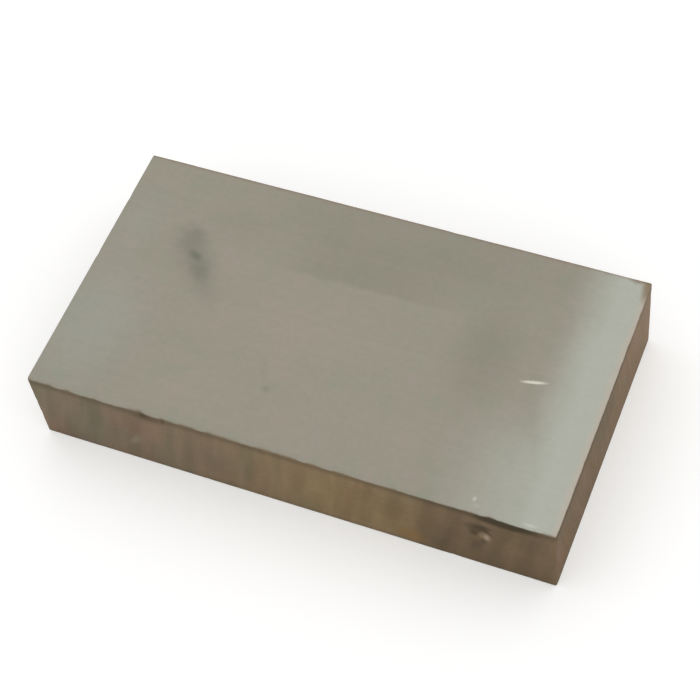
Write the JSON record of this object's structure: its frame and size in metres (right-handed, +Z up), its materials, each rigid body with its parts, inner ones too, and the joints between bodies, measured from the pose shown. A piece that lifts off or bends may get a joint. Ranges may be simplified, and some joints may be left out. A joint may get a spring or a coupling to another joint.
{
  "type": "aluminium flat bar",
  "caption": "Solid rectangular aluminium flat bar, a short sawn length with rounded long edges, for machining, clamping or use as a packing or spacer block.",
  "frame": {"origin": "middle of the flat underside that the bar lies on", "axes": "+X along the bar's length towards the end with the dent near it, +Y across its width towards the back edge face, +Z up through its thickness"},
  "size_m": [0.1396, 0.0762, 0.0254],
  "materials": {
    "mill_aluminium": "dull mill finish, stained, with brown edge faces"
  },
  "bodies": {
    "root": {"flat_bar": "mill_aluminium"}
  },
  "joints": []
}
